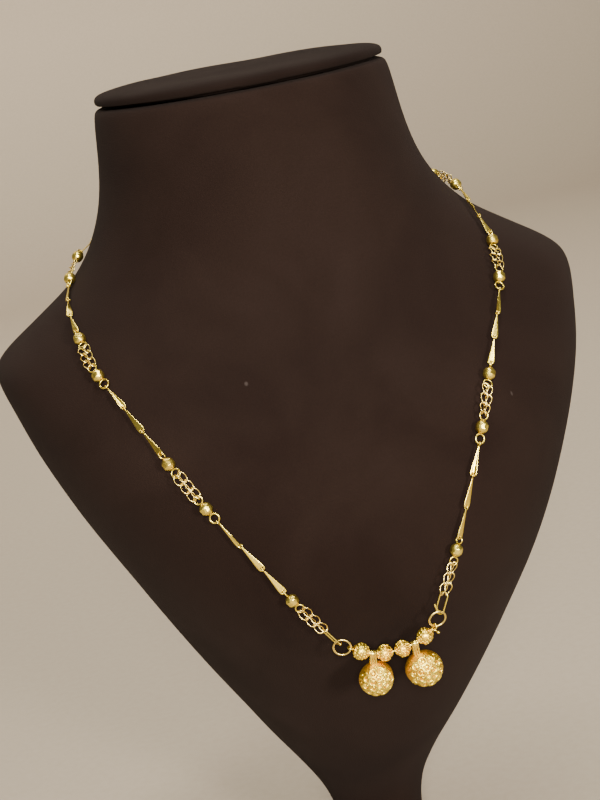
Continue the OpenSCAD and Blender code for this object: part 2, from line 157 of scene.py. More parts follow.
def alone(piece):
    """Makes a piece the only selected and the active one."""
    start_clean()
    piece.select_set(True)
    bpy.context.view_layer.objects.active = piece


def in_edit(piece):
    alone(piece)
    bpy.ops.object.mode_set(mode="EDIT")


def pick(piece, kind, wanted):
    """Selects the vertices, edges or faces whose middle passes the test."""
    in_edit(piece)
    bpy.ops.mesh.select_mode(type=kind)
    shape = bmesh.from_edit_mesh(piece.data)
    for elements in (shape.verts, shape.edges, shape.faces):
        for element in elements:
            element.select = False
    elements, spot_of = {
        "VERT": (shape.verts, lambda v: v.co),
        "EDGE": (shape.edges, lambda e: (e.verts[0].co + e.verts[1].co) / 2),
        "FACE": (shape.faces, lambda f: f.calc_center_median()),
    }[kind]
    for element in elements:
        if wanted(spot_of(element)):
            element.select = True
    shape.select_flush_mode()
    bmesh.update_edit_mesh(piece.data)


def done(piece, name, smooth=40):
    """Leaves a finished piece at the origin, unturned and unscaled, smooth up to an angle."""
    alone(piece)
    bpy.ops.object.transform_apply(location=True, rotation=True, scale=True)
    bpy.ops.object.shade_smooth_by_angle(angle=math.radians(smooth))
    piece.name = name
    return piece


def apply_all(piece):
    alone(piece)
    for modifier in list(piece.modifiers):
        bpy.ops.object.modifier_apply(modifier=modifier.name)


def copy_at(model, name, place):
    """A copy of a model with its own mesh, put where the matrix says."""
    twin = model.copy()
    twin.data = model.data.copy()
    twin.name = name
    bpy.context.scene.collection.objects.link(twin)
    twin.data.transform(place)
    if place.determinant() < 0:
        twin.data.flip_normals()
    return twin


def join(pieces, name):
    start_clean()
    for piece in pieces:
        piece.select_set(True)
    bpy.context.view_layer.objects.active = pieces[0]
    if len(pieces) > 1:
        bpy.ops.object.join()
    piece = bpy.context.object
    piece.name = name
    return piece


def wear(piece, material, slot, *nodes):
    """Gives a piece its material and body, and hides the CAD nodes that it stands for; the slot is not used.
    """
    piece.data.materials.clear()
    piece.data.materials.append(material)
    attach(piece, "root")
    if nodes:
        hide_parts(*nodes)
    return piece


def scrap(piece):
    bpy.data.objects.remove(piece)


def axes(origin, x, y, z):
    turned = Matrix((x, y, z)).transposed().to_4x4()
    return Matrix.Translation(origin) @ turned


# Where the solids are
def loose_parts(node):
    """The node's separate solids, each as a list of points."""
    shape = bmesh.new()
    shape.from_mesh(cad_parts[node].data)
    bmesh.ops.remove_doubles(shape, verts=shape.verts, dist=2e-6)
    seen, parts = set(), []
    for first in shape.verts:
        if first in seen:
            continue
        seen.add(first)
        reach, found = [first], []
        while reach:
            v = reach.pop()
            found.append(v.co.copy())
            for e in v.link_edges:
                w = e.other_vert(v)
                if w not in seen:
                    seen.add(w)
                    reach.append(w)
        parts.append(found)
    shape.free()
    return parts


def middle(points):
    return sum(points, Vector()) / len(points)


def spread_axes(points):
    """Directions of most, middle and least spread."""
    p = np.array([tuple(q) for q in points])
    rows = np.linalg.svd(p - p.mean(0), full_matrices=False)[2]
    return [Vector(row) for row in rows]


# Shared effects for the finishes
def effect(name, inputs, outputs):
    """An empty node group: inputs and outputs are (name, kind, value)."""
    group = bpy.data.node_groups.new(name, "ShaderNodeTree")
    for label, kind, value in inputs:
        socket = group.interface.new_socket(label, in_out="INPUT", socket_type=kind)
        if value is not None:
            socket.default_value = value
    for label, kind in outputs:
        group.interface.new_socket(label, in_out="OUTPUT", socket_type=kind)
    return group, group.nodes.new("NodeGroupInput"), group.nodes.new("NodeGroupOutput")


def add(tree, kind, values=None, links=None, **settings):
    node = tree.nodes.new(kind)
    for key, value in settings.items():
        setattr(node, key, value)
    for key, value in (values or {}).items():
        node.inputs[key].default_value = value
    for key, source in (links or {}).items():
        tree.links.new(source, node.inputs[key])
    return node


def mixed(tree, share, first, second):
    """One colour laid over another; each may be a colour or a socket."""
    node = tree.nodes.new("ShaderNodeMix")
    node.data_type = "RGBA"
    for socket, value in ((node.inputs[0], share), (node.inputs[6], first), (node.inputs[7], second)):
        if isinstance(value, bpy.types.NodeSocket):
            tree.links.new(value, socket)
        else:
            socket.default_value = value
    return node.outputs[2]


def stretched(tree, value, low, high, new_low=0.0, new_high=1.0):
    """A value carried from one range to another, and held inside it."""
    node = add(tree, "ShaderNodeMapRange",
               {"From Min": low, "From Max": high, "To Min": new_low, "To Max": new_high}, {"Value": value})
    node.clamp = True
    return node.outputs[0]


def make_hand_worked():
    """Fine hammered unevenness, polishing scratches and tarnish in random patches, for gold."""
    group, start, end = effect(
        "hand_worked_gold",
        [("Vector", "NodeSocketVector", None), ("Dent Size", "NodeSocketFloat", 900.0),
         ("Dent Depth", "NodeSocketFloat", 0.1), ("Scratch Depth", "NodeSocketFloat", 0.05)],
        [("Normal", "NodeSocketVector"), ("Tarnish", "NodeSocketFloat"), ("Scratches", "NodeSocketFloat")])
    place = start.outputs["Vector"]
    dents = add(group, "ShaderNodeTexNoise", {"Detail": 3.0, "Roughness": 0.55},
                {"Vector": place, "Scale": start.outputs["Dent Size"]})
    drawn = add(group, "ShaderNodeMapping", {"Scale": (9000, 1500, 2600), "Rotation": (0.4, 0.9, 0.2)},
                {"Vector": place})
    lines = add(group, "ShaderNodeTexNoise", {"Scale": 1.0, "Detail": 2.0}, {"Vector": drawn.outputs[0]})
    stain = add(group, "ShaderNodeTexNoise", {"Scale": 260.0, "Detail": 4.0, "Roughness": 0.6},
                {"Vector": place})
    first = add(group, "ShaderNodeBump", {"Distance": 0.0002},
                {"Strength": start.outputs["Dent Depth"], "Height": dents.outputs[0]})
    second = add(group, "ShaderNodeBump", {"Distance": 0.00005},
                 {"Strength": start.outputs["Scratch Depth"], "Height": lines.outputs[0],
                  "Normal": first.outputs[0]})
    group.links.new(second.outputs[0], end.inputs["Normal"])
    group.links.new(stretched(group, stain.outputs[0], 0.42, 0.7), end.inputs["Tarnish"])
    group.links.new(lines.outputs[0], end.inputs["Scratches"])
    return group


def gold_finish(name, bright, deep, roughness, dent_size, dents, tarnish):
    material = bpy.data.materials.new(name)
    material.use_nodes = True
    tree = material.node_tree
    shader = tree.nodes["Principled BSDF"]
    place = add(tree, "ShaderNodeTexCoord").outputs["Object"]
    worked = add(tree, "ShaderNodeGroup", node_tree=hand_worked)
    worked.inputs["Dent Size"].default_value = dent_size
    worked.inputs["Dent Depth"].default_value = dents
    worked.inputs["Scratch Depth"].default_value = 0.1
    tree.links.new(place, worked.inputs["Vector"])
    stain = stretched(tree, worked.outputs["Tarnish"], 0, 1, 0, tarnish)
    tree.links.new(mixed(tree, stain, (*bright, 1), (*deep, 1)), shader.inputs["Base Color"])
    tree.links.new(stretched(tree, worked.outputs["Scratches"], 0.3, 0.7, roughness, roughness + 0.14),
                   shader.inputs["Roughness"])
    tree.links.new(worked.outputs["Normal"], shader.inputs["Normal"])
    shader.inputs["Metallic"].default_value = 1.0
    return material


def make_pile():
    """The short pile of velvet: grain, brushed patches and a few light lint specks."""
    group, start, end = effect(
        "short_pile",
        [("Vector", "NodeSocketVector", None), ("Grain Size", "NodeSocketFloat", 2600.0)],
        [("Normal", "NodeSocketVector"), ("Brushed", "NodeSocketFloat"), ("Lint", "NodeSocketFloat"),
         ("Grain", "NodeSocketFloat")])
    place = start.outputs["Vector"]
    grain = add(group, "ShaderNodeTexNoise", {"Detail": 3.0, "Roughness": 0.7},
                {"Vector": place, "Scale": start.outputs["Grain Size"]})
    brushed = add(group, "ShaderNodeTexNoise",
                  {"Scale": 22.0, "Detail": 3.0, "Roughness": 0.5, "Distortion": 0.6}, {"Vector": place})
    thread = add(group, "ShaderNodeMapping", {"Scale": (1.0, 1.0, 0.45), "Rotation": (0.3, 0.5, 0.8)},
                 {"Vector": place})
    cells = add(group, "ShaderNodeTexVoronoi", {"Scale": 70.0, "Randomness": 1.0},
                {"Vector": thread.outputs[0]})
    near = stretched(group, cells.outputs["Distance"], 0.028, 0.05, 1, 0)
    chosen = add(group, "ShaderNodeSeparateColor", links={"Color": cells.outputs["Color"]})
    rare = stretched(group, chosen.outputs[0], 0.93, 0.95)
    lint = add(group, "ShaderNodeMath", operation="MULTIPLY", links={0: near, 1: rare})
    bump = add(group, "ShaderNodeBump", {"Strength": 0.55, "Distance": 0.0004},
               {"Height": grain.outputs[0]})
    group.links.new(bump.outputs[0], end.inputs["Normal"])
    group.links.new(brushed.outputs[0], end.inputs["Brushed"])
    group.links.new(lint.outputs[0], end.inputs["Lint"])
    group.links.new(grain.outputs[0], end.inputs["Grain"])
    return group


def velvet_finish(name, deep, lifted, lint_share):
    material = bpy.data.materials.new(name)
    material.use_nodes = True
    tree = material.node_tree
    shader = tree.nodes["Principled BSDF"]
    place = add(tree, "ShaderNodeTexCoord").outputs["Object"]
    pile = add(tree, "ShaderNodeGroup", node_tree=short_pile)
    tree.links.new(place, pile.inputs["Vector"])
    brushed = stretched(tree, pile.outputs["Brushed"], 0.3, 0.7)
    cloth = mixed(tree, brushed, (*deep, 1), (*lifted, 1))
    grain = stretched(tree, pile.outputs["Grain"], 0.3, 0.7, 0, 0.35)
    cloth = mixed(tree, grain, cloth, (*(c * 0.45 for c in deep), 1))
    lint = stretched(tree, pile.outputs["Lint"], 0, 1, 0, lint_share)
    tree.links.new(mixed(tree, lint, cloth, (0.1, 0.08, 0.07, 1)), shader.inputs["Base Color"])
    tree.links.new(stretched(tree, pile.outputs["Brushed"], 0.3, 0.7, 0.95, 0.82), shader.inputs["Roughness"])
    tree.links.new(pile.outputs["Normal"], shader.inputs["Normal"])
    shader.inputs["Specular IOR Level"].default_value = 0.06
    shader.inputs["Sheen Weight"].default_value = 0.02
    shader.inputs["Sheen Roughness"].default_value = 0.6
    shader.inputs["Sheen Tint"].default_value = (0.75, 0.6, 0.52, 1)
    return material


def paper_finish():
    material = bpy.data.materials.new("beige_paper")
    material.use_nodes = True
    tree = material.node_tree
    shader = tree.nodes["Principled BSDF"]
    place = add(tree, "ShaderNodeTexCoord").outputs["Object"]
    fibre = add(tree, "ShaderNodeTexNoise", {"Scale": 300.0, "Detail": 4.0}, {"Vector": place})
    share = stretched(tree, fibre.outputs[0], 0.3, 0.7)
    paper = mixed(tree, share, (0.42, 0.35, 0.26, 1), (0.44, 0.37, 0.28, 1))
    # Painted light and shade: the paper is made darker towards the front and the left, and lighter higher up
    parts = add(tree, "ShaderNodeSeparateXYZ", links={0: place})
    near = stretched(tree, parts.outputs[1], -0.6, 0.6, 0.8, 1.0)
    high = stretched(tree, parts.outputs[2], 0.02, 0.35, 1.0, 1.25)
    left = stretched(tree, parts.outputs[0], -1.1, -0.2, 0.82, 1.0)
    painted_light_falloff = add(tree, "ShaderNodeMath", operation="MULTIPLY", links={0: near, 1: high})
    painted_light_falloff = add(tree, "ShaderNodeMath", operation="MULTIPLY", links={0: painted_light_falloff.outputs[0], 1: left})
    toned = add(tree, "ShaderNodeVectorMath", operation="SCALE", links={0: paper, 3: painted_light_falloff.outputs[0]})
    tree.links.new(toned.outputs[0], shader.inputs["Base Color"])
    shader.inputs["Roughness"].default_value = 0.9
    return material


# The stage: sizes in metres
def make_stage():
    """A pale table top that curves up into the wall behind."""
    start_clean()
    bpy.ops.mesh.primitive_grid_add(x_subdivisions=2, y_subdivisions=2, size=4, location=(0, -0.4, 0))
    stage = bpy.context.object
    pick(stage, "EDGE", lambda p: p.y > 1.59)
    reach = 0.5
    for step in range(12):
        a, b = math.radians(90 * step / 12), math.radians(90 * (step + 1) / 12)
        move = (0, reach * (math.sin(b) - math.sin(a)), reach * (math.cos(a) - math.cos(b)))
        bpy.ops.mesh.extrude_region_move(TRANSFORM_OT_translate={"value": move})
    bpy.ops.mesh.extrude_region_move(TRANSFORM_OT_translate={"value": (0, 0, 2.5)})
    done(stage, "paper_sweep", smooth=60)
    stage.data.materials.append(paper_finish())


# The velvet bust
def velvet_cover(node, name, swell):
    """The smooth padded cover over one of the stand's solids."""
    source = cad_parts[node]
    cover = source.copy()
    cover.data = source.data.copy()
    for key in list(cover.keys()):
        del cover[key]
    cover.parent = None
    bpy.context.scene.collection.objects.link(cover)
    cover.name = name
    in_edit(cover)
    bpy.ops.mesh.select_all(action="SELECT")
    bpy.ops.mesh.remove_doubles(threshold=0.00002)
    bpy.ops.mesh.tris_convert_to_quads(face_threshold=math.radians(30), shape_threshold=math.radians(60))
    bpy.ops.mesh.faces_shade_smooth()
    start_clean()
    rounder = cover.modifiers.new("rounder", "SUBSURF")
    rounder.levels = rounder.render_levels = 2
    lumps = bpy.data.textures.new(name + "_padding", "CLOUDS")
    lumps.noise_scale = 0.03
    lumps.noise_depth = 1
    padding = cover.modifiers.new("padding", "DISPLACE")
    padding.texture = lumps
    padding.texture_coords = "LOCAL"
    padding.strength = swell
    padding.mid_level = 0.5
    apply_all(cover)
    return done(cover, name, smooth=60)


def tucked_cap(cover):
    """Tucks the cap's under edge in, which leaves the dark groove round the neck's top."""
    def height(p):
        return p.z / MM - NECK_TOP - (p.y / MM - NECK_BACK) * math.tan(math.radians(TOP_LEAN))
    pick(cover, "VERT", lambda p: height(p) < CAP_EDGE)
    bpy.ops.transform.resize(value=(0.955, 0.945, 1), center_override=(0, NECK_BACK * MM, NECK_TOP * MM))
    return done(cover, cover.name, smooth=60)


# Chain bead, a cut ball on the pin
def cut_bead_model():
    """A cut gold ball with a crease round its middle, drilled right through along X."""
    start_clean()
    bpy.ops.mesh.primitive_uv_sphere_add(segments=14, ring_count=8, radius=BEAD_RADIUS * MM)
    bead = bpy.context.object
    in_edit(bead)
    bpy.ops.mesh.select_all(action="SELECT")
    bpy.ops.transform.rotate(value=math.radians(90), orient_axis="Y", center_override=(0, 0, 0))
    pick(bead, "VERT", lambda p: abs(p.x) < 0.1 * MM)
    bpy.ops.transform.resize(value=(1, 0.93, 0.93), center_override=(0, 0, 0))
    for side in (-1, 1):
        pick(bead, "VERT", lambda p: 0.3 * MM < side * p.x < 0.9 * MM)
        bpy.ops.transform.rotate(value=math.radians(12.86), orient_axis="X", center_override=(0, 0, 0))
    in_edit(bead)
    for side in (1, -1):
        bpy.ops.mesh.select_all(action="SELECT")
        bpy.ops.mesh.bisect(plane_co=(side * BEAD_END * MM, 0, 0), plane_no=(side, 0, 0), use_fill=True,
                            clear_outer=True)
    near_end = (BEAD_END - 0.02) * MM
    pick(bead, "FACE", lambda p: abs(p.x) > near_end)
    bpy.ops.mesh.inset(thickness=0.36 * MM, use_individual=True)
    pick(bead, "FACE", lambda p: abs(p.x) > near_end and math.hypot(p.y, p.z) < 0.05 * MM)
    bpy.ops.mesh.bridge_edge_loops()
    in_edit(bead)
    bpy.ops.mesh.select_all(action="SELECT")
    bpy.ops.mesh.normals_make_consistent(inside=False)
    start_clean()
    edge = bead.modifiers.new("edge", "BEVEL")
    edge.width = 0.05 * MM
    edge.segments = 1
    edge.limit_method = "ANGLE"
    edge.angle_limit = math.radians(12)
    apply_all(bead)
    return done(bead, "cut_bead", smooth=12)


def place_beads(model):
    for side in SIDES:
        for k in range(1, 9):
            node = f"bead_{side}_{k}"
            points = loose_parts(node)[0]
            lo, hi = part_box(node)
            centre = (lo + hi) / 2
            hole = bead_axis(points)
            turn = Matrix.Rotation(0.7 * k + (0.4 if side == "left" else 0), 4, "X")
            across = hole.orthogonal().normalized()
            place = axes(centre, hole, across, hole.cross(across)) @ turn
            wear(copy_at(model, f"cut_bead_{side}_{k}", place), bead_gold, "chain_gold", node)
    scrap(model)


def bead_axis(points):
    """The direction of a bead's hole, from the flat ends: its points have the odd spread."""
    p = np.array([tuple(q) for q in points])
    p = p - (p.max(0) + p.min(0)) / 2
    values, vectors = np.linalg.eigh(p.T @ p)
    odd = 0 if values[1] - values[0] > values[2] - values[1] else 2
    return Vector(vectors[:, odd]).normalized()


# Tapered bars
def bar_model(kind):
    """A straight-tapered strip, drilled at its broad end. Kinds: 0 a channel, 1 flat, 2 twisted."""
    start_clean()
    bpy.ops.mesh.primitive_grid_add(x_subdivisions=BAR_ROWS, y_subdivisions=4, size=1)
    strip = bpy.context.object
    pick(strip, "VERT", lambda p: True)
    length = (BAR_END - BAR_START) * MM
    bpy.ops.transform.resize(value=(length, 2 * MM, 1), center_override=(0, 0, 0))
    bpy.ops.transform.translate(value=(BAR_START * MM + length / 2, 0, 0))
    if kind == 0:
        fold_up(strip)
    for step in range(BAR_ROWS + 1):
        share = step / BAR_ROWS
        x = BAR_START * MM + share * length
        half = next(a[1] + (b[1] - a[1]) * (share - a[0]) / (b[0] - a[0])
                    for a, b in zip(BAR_OUTLINE, BAR_OUTLINE[1:]) if share <= b[0] + 1e-9)
        pick(strip, "VERT", lambda p: abs(p.x - x) < 0.05 * MM)
        bpy.ops.transform.resize(value=(1, half, half), center_override=(x, 0, 0))
    pick(strip, "FACE", lambda p: math.hypot(p.x - HOLE_AT * MM, p.y) < 0.34 * MM)
    bpy.ops.mesh.delete(type="FACE")
    start_clean()
    wall = strip.modifiers.new("wall", "SOLIDIFY")
    wall.thickness = BAR_WALL * MM
    wall.offset = 0
    apply_all(strip)
    if kind == 2:
        twist_up(strip)
    start_clean()
    round_over = strip.modifiers.new("round_over", "SUBSURF")
    round_over.levels = round_over.render_levels = 1
    apply_all(strip)
    return done(strip, f"bar_strip_{kind}", smooth=50)


def fold_up(strip):
    """Turns both long edges of the plain strip up, so that it tapers to a channel."""
    for edge, rise, narrow in ((0.4, 0.1, 1.0), (0.9, 0.4, 0.84)):
        pick(strip, "VERT", lambda p: abs(p.y) > edge * MM)
        bpy.ops.transform.translate(value=(0, 0, rise * MM))
        bpy.ops.transform.resize(value=(1, narrow, 1), center_override=(0, 0, 0))


def twist_up(strip):
    """Turns the strip about its own length, most at its narrow end."""
    for step in range(24):
        x = (0.5 + 0.283 * step) * MM
        turn = math.radians(70) * max(0.0, min(1.0, (6.4 * MM - x) / (5.2 * MM)))
        pick(strip, "VERT", lambda p: abs(p.x - x) < 0.1415 * MM)
        bpy.ops.transform.rotate(value=turn, orient_axis="X", center_override=(x, 0, 0))


def eye_model():
    """The wire eye at a bar's narrow end, its hole along Z, with its wrapped stalk towards +X."""
    start_clean()
    bpy.ops.mesh.primitive_torus_add(major_radius=0.55 * MM, minor_radius=0.18 * MM,
                                     major_segments=24, minor_segments=8)
    eye = bpy.context.object
    pick(eye, "VERT", lambda p: p.x > 0.66 * MM)
    bpy.ops.transform.resize(value=(1, 1.25, 1.25), center_override=(0.6 * MM, 0, 0))
    return done(eye, "bar_eye", smooth=60)


def bar_frame(points):
    """Origin at the eye, X to the broad end, Z out of the plate, and the eye's own axis."""
    centre = middle(points)
    along = spread_axes(points)[0]
    reach = [(p - centre).dot(along) for p in points]
    if max(reach) < -min(reach):
        along = -along
        reach = [-r for r in reach]
    low, high = min(reach), max(reach)
    eye_normal = spread_axes([p for p, r in zip(points, reach) if r < low + 1.3 * MM])[2]
    lows = [p for p, r in zip(points, reach) if r < low + 0.2 * MM]
    broad = [p for p, r in zip(points, reach) if low + 7.6 * MM < r < low + 8.5 * MM]
    tip = [p for p, r in zip(points, reach) if r > high - 0.1 * MM]
    start = middle(lows)
    along = (middle(tip) - start).normalized()
    origin = start + along * 0.73 * MM
    flat = [p - along * (p - origin).dot(along) for p in broad]
    widest = spread_axes(flat)[0]
    lateral = (widest - along * widest.dot(along)).normalized()
    out = along.cross(lateral)
    eye_normal = (eye_normal - along * eye_normal.dot(along)).normalized()
    return origin, along, lateral, out, eye_normal


def place_bars(strips, eye):
    for side in SIDES:
        for run in range(1, 5):
            node = f"bars_{side}_{run}"
            made = []
            parts = sorted(loose_parts(node), key=lambda part: middle(part).z)
            for k, part in enumerate(parts):
                origin, along, lateral, out, eye_normal = bar_frame(part)
                if out.dot(outwards(origin)) < 0:
                    lateral, out = -lateral, -out
                kind = 0 if k == 2 else 2 if run > 2 and k == 1 else 1
                made.append(copy_at(strips[kind], "bar", axes(origin, along, lateral, out)))
                across = eye_normal.cross(along)
                made.append(copy_at(eye, "eye", axes(origin, along, across, eye_normal)))
            wear(join(made, f"tapered_bars_{side}_{run}"), yellow_gold, "chain_gold", node)
    for model in list(strips) + [eye]:
        scrap(model)


# The chain's oval links, twisted like a curb's, two side by side
def twisted_link():
    """One soldered oval link along X, its two ends turned apart."""
    start_clean()
    bpy.ops.mesh.primitive_torus_add(major_radius=LINK_HALF * MM, minor_radius=LINK_WIRE * MM,
                                     major_segments=20, minor_segments=6)
    link = bpy.context.object
    pick(link, "VERT", lambda p: True)
    bpy.ops.transform.resize(value=((LINK_REACH - LINK_STRAIGHT) / LINK_HALF, 1, 1),
                             center_override=(0, 0, 0))
    for side in (-1, 1):
        pick(link, "VERT", lambda p: side * p.x > 0.01 * MM)
        bpy.ops.transform.translate(value=(side * LINK_STRAIGHT * MM, 0, 0))
    start_clean()
    for row in sorted({round(v.co.x / MM, 2) for v in link.data.vertices}):
        turn = math.radians(LINK_TWIST) * max(-1.0, min(1.0, row / (LINK_REACH - 0.5)))
        pick(link, "VERT", lambda p: abs(p.x - row * MM) < 0.0051 * MM)
        bpy.ops.transform.rotate(value=turn, orient_axis="X", center_override=(0, 0, 0))
    return done(link, "twisted_link", smooth=70)


def outwards(spot):
    """Away from the neck's upright axis."""
    return Vector((spot.x, spot.y - NECK_BACK * MM, 0)).normalized()


def link_pairs(parts):
    """The middle of each pair of links, and the line from one link of it to the other."""
    spots = [middle(part) for part in parts]
    pairs, used = [], set()
    for a, spot in enumerate(spots):
        if a in used:
            continue
        near = min((b for b in range(len(spots)) if b != a and b not in used),
                   key=lambda b: (spots[b] - spot).length, default=None)
        if near is not None and (spots[near] - spot).length < 2 * MM:
            used.update((a, near))
            pairs.append(((spot + spots[near]) / 2, spots[near] - spot))
    return pairs, [a for a in range(len(spots)) if a not in used]


def in_row(pairs):
    """The pairs in their order along the chain, from one end of the run."""
    far = max(pairs, key=lambda pair: sum((pair[0] - other[0]).length for other in pairs))
    row, left = [far], [pair for pair in pairs if pair is not far]
    while left:
        row.append(min(left, key=lambda pair: (pair[0] - row[-1][0]).length))
        left = [pair for pair in left if pair is not row[-1]]
    return row


def place_links(model):
    for side in SIDES:
        for run in range(1, 6):
            node = f"links_{side}_{run}"
            parts = loose_parts(node)
            pairs, single = link_pairs(parts)
            row = in_row(pairs)
            made = []
            for i, (spot, apart) in enumerate(row):
                ahead, behind = row[min(i + 1, len(row) - 1)][0], row[max(i - 1, 0)][0]
                along = (ahead - behind).normalized()
                pitch = (ahead - behind).length / MM / (2 if 0 < i < len(row) - 1 else 1)
                aside = (apart - along * apart.dot(along)).normalized()
                out = along.cross(aside)
                if out.dot(outwards(spot)) < 0:
                    aside, out = -aside, -out
                stretch = Matrix.Diagonal(((pitch / 2 + 0.25) / LINK_REACH, 1, 1, 1))
                for twin in (-1, 1):
                    shift = (aside * twin * LINK_APART[side] + out * twin * 0.22) * MM
                    made.append(copy_at(model, "link", axes(spot + shift, along, aside, out) @ stretch))
            for part in single:
                made.append(end_ring(parts[part]))
            wear(join(made, f"double_links_{side}_{run}"), pale_gold, "chain_gold", node)
    scrap(model)


def end_ring(points):
    """The plain ring that the clasp takes, at the chain's end."""
    turn = spread_axes(points)
    ring = wire_ring(1.2, 0.2, 28, 8)
    ring.data.transform(axes(middle(points), turn[0], turn[1], turn[0].cross(turn[1])))
    return ring


# The pendants: they stand in one frame, set by the two jump rings, as they were built
def turned(name, profile, steps=48, smooth=35):
    """A body turned about Z from a row of (radius, height) points in millimetres."""
    start_clean()
    bpy.ops.mesh.primitive_plane_add(size=MM)
    body = bpy.context.object
    pick(body, "VERT", lambda p: True)
    bpy.ops.mesh.merge(type="CENTER")
    bpy.ops.transform.translate(value=(profile[0][0] * MM, 0, profile[0][1] * MM))
    for a, b in zip(profile, profile[1:]):
        move = ((b[0] - a[0]) * MM, 0, (b[1] - a[1]) * MM)
        bpy.ops.mesh.extrude_region_move(TRANSFORM_OT_translate={"value": move})
    bpy.ops.mesh.select_all(action="SELECT")
    bpy.ops.mesh.spin(steps=steps, angle=2 * math.pi, center=(0, 0, 0), axis=(0, 0, 1))
    bpy.ops.mesh.select_all(action="SELECT")
    bpy.ops.mesh.remove_doubles(threshold=0.00001)
    bpy.ops.mesh.normals_make_consistent(inside=False)
    return done(body, name, smooth=smooth)


def grain(radius, flat=1.0):
    """One soldered gold grain."""
    start_clean()
    bpy.ops.mesh.primitive_uv_sphere_add(segments=8, ring_count=6, radius=radius * MM)
    ball = bpy.context.object
    in_edit(ball)
    bpy.ops.mesh.select_all(action="SELECT")
    bpy.ops.transform.resize(value=(1, 1, flat), center_override=(0, 0, 0))
    return done(ball, "grain", smooth=80)


def petal():
    """A long grain, pointed outwards along X."""
    ball = grain(0.5)
    pick(ball, "VERT", lambda p: True)
    bpy.ops.transform.resize(value=(1.35, 0.85, 0.8), center_override=(0, 0, 0))
    pick(ball, "VERT", lambda p: p.x > 0.3 * MM)
    bpy.ops.transform.resize(value=(1.2, 0.7, 0.8), center_override=(0, 0, 0))
    return done(ball, "petal", smooth=80)


def wire_ring(radius, wire, around=20, across=6):
    start_clean()
    bpy.ops.mesh.primitive_torus_add(major_radius=radius * MM, minor_radius=wire * MM,
                                     major_segments=around, minor_segments=across)
    return done(bpy.context.object, "wire_ring", smooth=80)


def pendant_frame():
    left, right = (sum(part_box(f"jump_ring_{side}"), Vector()) / 2 for side in SIDES)
    x = (right - left).normalized()
    lean = math.radians(WIRE_LEAN)
    z = -x.cross(Vector((0, math.sin(lean), -math.cos(lean)))).normalized()
    return axes((left + right) / 2, x, z.cross(x), z)


def on_wire(angle):
    """X along the pendant wire, at an angle along its bow."""
    a = math.radians(angle)
    spot = Vector((BOW_MIDDLE[0] + WIRE_BOW * math.sin(a), BOW_MIDDLE[1] - WIRE_BOW * math.cos(a), 0)) * MM
    return pendant_frame() @ Matrix.Translation(spot) @ Matrix.Rotation(a, 4, "Z")


def on_ball(radius, polar, around, centre=0.0):
    """A spot on a ball about the Z axis: Z out of it, X away from the pole."""
    out = Vector((math.sin(polar) * math.cos(around), math.sin(polar) * math.sin(around), math.cos(polar)))
    away = Vector((math.cos(polar) * math.cos(around), math.cos(polar) * math.sin(around), -math.sin(polar)))
    return axes((out * radius + Vector((0, 0, centre))) * MM, away, out.cross(away), out)


def filigree_bead(k, angle, diameter, ringed):
    """A drilled ball set all over with grains, on some round wire rings too."""
    r = diameter / 2
    core = r - 0.3
    end = math.acos(0.95)
    steps = 14
    profile = [(0.6, core * math.cos(end))]
    for i in range(steps + 1):
        a = math.asin(0.85 / core) + (math.pi - 2 * math.asin(0.85 / core)) * i / steps
        profile.append((core * math.sin(a), core * math.cos(a)))
    profile += [(0.6, -core * math.cos(end)), (0.6, core * math.cos(end))]
    made = [turned("core", profile, steps=28)]
    ball = grain(0.46, 0.85)
    small = grain(0.36, 0.7)
    curl = wire_ring(0.68, 0.2, 18, 6)
    collar = wire_ring(0.85, 0.19, 24, 6)
    for sign in (-1, 1):
        made.append(copy_at(collar, "collar", Matrix.Translation((0, 0, sign * (r - 0.38) * MM))))
    rows = 6
    for row in range(rows):
        polar = math.radians(30 + 120 * row / (rows - 1))
        count = int(round(2 * math.pi * core * math.sin(polar) / 0.92))
        for i in range(count):
            around = 2 * math.pi * (i + 0.5 * (row % 2)) / count
            if ringed and near_curl(polar, around, core):
                continue
            wobble = 1 + chance.uniform(-0.05, 0.03)
            place = on_ball((core - 0.14) * wobble, polar + chance.uniform(-0.05, 0.05),
                            around + chance.uniform(-0.06, 0.06))
            made.append(copy_at(ball, "grain", place @ Matrix.Scale(chance.uniform(0.7, 1.05), 4)))
    if ringed:
        for i in range(CURLS):
            place = on_ball(core - 0.08, math.pi / 2, 2 * math.pi * i / CURLS)
            made.append(copy_at(curl, "curl", place))
            made.append(copy_at(small, "grain", place))
            for corner in (-1, 1):
                place = on_ball(core, math.pi / 2 + corner * 0.36, 2 * math.pi * (i + 0.5) / CURLS)
                made.append(copy_at(ball, "grain", place @ Matrix.Scale(0.8, 4)))
    bead = join(made, f"granulated_bead_{k}")
    bead.data.transform(on_wire(angle) @ Matrix.Rotation(math.pi / 2, 4, "Y")
                        @ Matrix.Rotation(0.9 * k, 4, "Z"))
    for model in (ball, small, curl, collar):
        scrap(model)
    wear(bead, orange_gold, "granulated_gold", f"filigree_bead_{k}")


def near_curl(polar, around, core):
    """Whether a grain would sit inside one of the round wire rings on the bead's middle."""
    step = 2 * math.pi / CURLS
    off = (around + step / 2) % step - step / 2
    return math.hypot(off * core, (polar - math.pi / 2) * core) < 1.02


